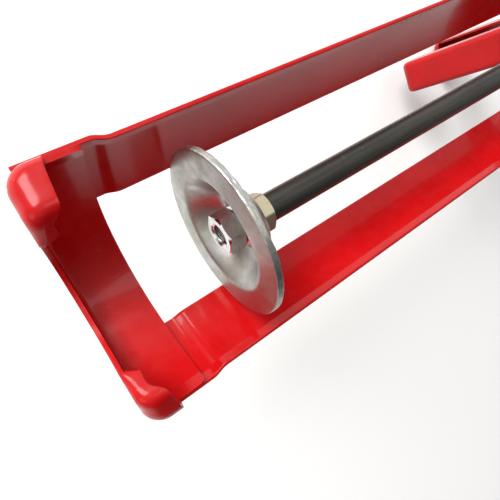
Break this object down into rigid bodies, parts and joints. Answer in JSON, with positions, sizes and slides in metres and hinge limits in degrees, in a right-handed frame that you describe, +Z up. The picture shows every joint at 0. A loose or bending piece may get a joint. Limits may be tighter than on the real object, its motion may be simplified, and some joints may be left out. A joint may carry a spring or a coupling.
{
  "type": "caulking gun",
  "caption": "Skeleton caulking gun: an open steel cradle for a cartridge, a push rod with a dished plate, and a pistol grip with a squeeze trigger and a thumb release.",
  "frame": {"origin": "on the push rod's axis, at the inner face of the front wall, where the front of a cartridge seats", "axes": "+X along the push rod towards the user, +Y to the user's right, +Z up, out of the open side of the cradle; the grip points down"},
  "size_m": [0.37, 0.0664, 0.1504],
  "materials": {
    "red_paint": "glossy red powder coat over pressed sheet steel",
    "plate_zinc": "dull zinc plate over rolled and pressed sheet",
    "bright_zinc": "bright zinc plate",
    "zinc_plate": "zinc plate",
    "yellow_zinc": "yellowish passivated zinc plate",
    "black_rod": "satin black coat on drawn round bar",
    "spring_steel": "drawn spring wire"
  },
  "bodies": {
    "frame": {"front_cap": "red_paint", "rail_left": "red_paint", "rail_right": "red_paint", "rear_cup": "red_paint", "frame_rivets": "zinc_plate", "collar_bush": "zinc_plate", "collar_nut": "zinc_plate", "handle_body": "red_paint", "rear_guide": "zinc_plate", "guide_rivets": "zinc_plate", "trigger_pin": "zinc_plate", "trigger_clip": "zinc_plate", "brake_pin": "zinc_plate", "main_spring": "spring_steel", "brake_spring": "spring_steel"},
    "rod": {"push_rod": "black_rod", "push_plate": "plate_zinc", "front_nut": "bright_zinc", "jam_nut": "bright_zinc", "rear_nut": "yellow_zinc"},
    "drive": {"drive_plate_front": "zinc_plate", "drive_plate_rear": "zinc_plate"},
    "trigger": {"trigger": "red_paint"},
    "brake": {"brake_lever": "zinc_plate"}
  },
  "joints": [
    {"name": "rod_slide", "type": "slide", "parent": "frame", "child": "rod", "axis": [1, 0, 0], "range_m": [-0.028, 0.172]},
    {"name": "trigger_pull", "type": "hinge", "parent": "frame", "child": "trigger", "pos_m": [0.27, 0, -0.026], "axis": [0, -1, 0], "range_deg": [0, 24], "stiffness_Nm_per_rad": 0.8, "springref_deg": -17.19, "deforming": ["main_spring"]},
    {"name": "drive_slide", "type": "slide", "parent": "frame", "child": "drive", "axis": [-1, 0, 0], "range_m": [0, 0.0078]},
    {"name": "brake_release", "type": "hinge", "parent": "frame", "child": "brake", "pos_m": [0.296, 0, -0.013], "axis": [0, -1, 0], "range_deg": [0, 8], "stiffness_Nm_per_rad": 0.15, "springref_deg": -17.19, "deforming": ["brake_spring"]}
  ],
  "couplings": [
    {"joint": "drive_slide", "follows": "trigger_pull", "m_per_rad": 0.018}
  ]
}
